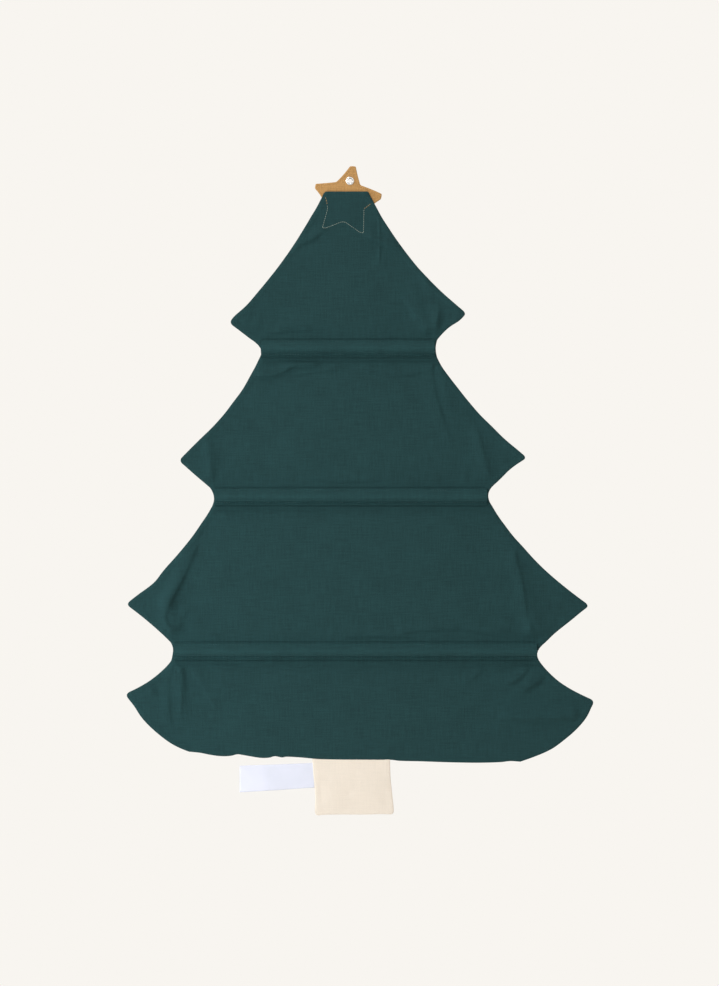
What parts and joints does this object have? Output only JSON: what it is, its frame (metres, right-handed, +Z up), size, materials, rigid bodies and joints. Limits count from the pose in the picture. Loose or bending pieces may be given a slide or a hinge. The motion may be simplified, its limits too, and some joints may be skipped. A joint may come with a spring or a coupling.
{
  "type": "advent calendar",
  "caption": "Fabric Christmas tree advent calendar to hang on a wall, with folding tiers, rod casings, star, trunk and patch pockets.",
  "frame": {"origin": "centre of the hanging eyelet, in the middle of the tree panel's thickness", "axes": "+Z up as it hangs, +Y towards the wall, pockets face -Y, +X to the left as seen from the wall side"},
  "size_m": [0.6462, 0.0212, 0.8993],
  "materials": {
    "green_canvas": "matte",
    "mustard_canvas": "matte",
    "cream_canvas": "matte",
    "white_ribbon": "satin",
    "beech": "satin",
    "nickel": "polished"
  },
  "bodies": {
    "tier_1": {"tier_1_front_cloth": "green_canvas", "tier_1_back_cloth": "green_canvas", "pocket_01": "green_canvas", "pocket_02": "green_canvas", "pocket_03": "green_canvas", "star_front_cloth": "mustard_canvas", "star_back_cloth": "mustard_canvas", "eyelet": "nickel", "eyelet_washer": "nickel"},
    "tier_2": {"tier_2_front_cloth": "green_canvas", "tier_2_back_cloth": "green_canvas", "pocket_04": "green_canvas", "pocket_05": "green_canvas", "pocket_06": "green_canvas", "pocket_07": "green_canvas", "pocket_08": "green_canvas", "pocket_09": "green_canvas", "pocket_10": "green_canvas"},
    "tier_3": {"tier_3_front_cloth": "green_canvas", "tier_3_back_cloth": "green_canvas", "pocket_11": "green_canvas", "pocket_12": "green_canvas", "pocket_13": "green_canvas", "pocket_14": "green_canvas", "pocket_15": "green_canvas", "pocket_16": "green_canvas", "pocket_17": "green_canvas", "pocket_18": "green_canvas", "pocket_19": "green_canvas"},
    "tier_4": {"tier_4_front_cloth": "green_canvas", "tier_4_back_cloth": "green_canvas", "pocket_20": "green_canvas", "pocket_21": "green_canvas", "pocket_22": "green_canvas", "pocket_23": "green_canvas", "pocket_24": "green_canvas"},
    "casing_1": {"spine_1_front_cloth": "green_canvas", "spine_1_back_cloth": "green_canvas", "casing_1_strip": "green_canvas"},
    "dowel_1": {"dowel_1": "beech"},
    "casing_2": {"spine_2_front_cloth": "green_canvas", "spine_2_back_cloth": "green_canvas", "casing_2_strip": "green_canvas"},
    "dowel_2": {"dowel_2": "beech"},
    "casing_3": {"spine_3_front_cloth": "green_canvas", "spine_3_back_cloth": "green_canvas", "casing_3_strip": "green_canvas"},
    "dowel_3": {"dowel_3": "beech"},
    "trunk": {"trunk_front_cloth": "cream_canvas", "trunk_back_cloth": "cream_canvas"},
    "care_label": {"care_label": "white_ribbon"}
  },
  "joints": [
    {"name": "casing_1_upper_fold", "type": "hinge", "parent": "tier_1", "child": "casing_1", "pos_m": [0, 0, -0.2197], "axis": [-1, 0, 0], "range_deg": [-90, 90]},
    {"name": "casing_1_lower_fold", "type": "hinge", "parent": "casing_1", "child": "tier_2", "pos_m": [0, 0, -0.2451], "axis": [-1, 0, 0], "range_deg": [-90, 90]},
    {"name": "dowel_1_slide", "type": "slide", "parent": "casing_1", "child": "dowel_1", "axis": [1, 0, 0], "range_m": [0, 0.2351]},
    {"name": "casing_2_upper_fold", "type": "hinge", "parent": "tier_2", "child": "casing_2", "pos_m": [0, 0, -0.425], "axis": [1, 0, 0], "range_deg": [-90, 90]},
    {"name": "casing_2_lower_fold", "type": "hinge", "parent": "casing_2", "child": "tier_3", "pos_m": [0, 0, -0.4504], "axis": [1, 0, 0], "range_deg": [-90, 90]},
    {"name": "dowel_2_slide", "type": "slide", "parent": "casing_2", "child": "dowel_2", "axis": [1, 0, 0], "range_m": [0, 0.3719]},
    {"name": "casing_3_upper_fold", "type": "hinge", "parent": "tier_3", "child": "casing_3", "pos_m": [0, 0, -0.639], "axis": [-1, 0, 0], "range_deg": [-90, 90]},
    {"name": "casing_3_lower_fold", "type": "hinge", "parent": "casing_3", "child": "tier_4", "pos_m": [0, 0, -0.6644], "axis": [-1, 0, 0], "range_deg": [-90, 90]},
    {"name": "dowel_3_slide", "type": "slide", "parent": "casing_3", "child": "dowel_3", "axis": [1, 0, 0], "range_m": [0, 0.4963]},
    {"name": "trunk_fold", "type": "hinge", "parent": "tier_4", "child": "trunk", "pos_m": [0, 0, -0.80275], "axis": [1, 0, 0], "range_deg": [-75, 75]},
    {"name": "care_label_swing", "type": "hinge", "parent": "trunk", "child": "care_label", "pos_m": [0.05245, 0, -0.80615], "axis": [0.0723, 0, 0.9974], "range_deg": [-120, 120]}
  ]
}
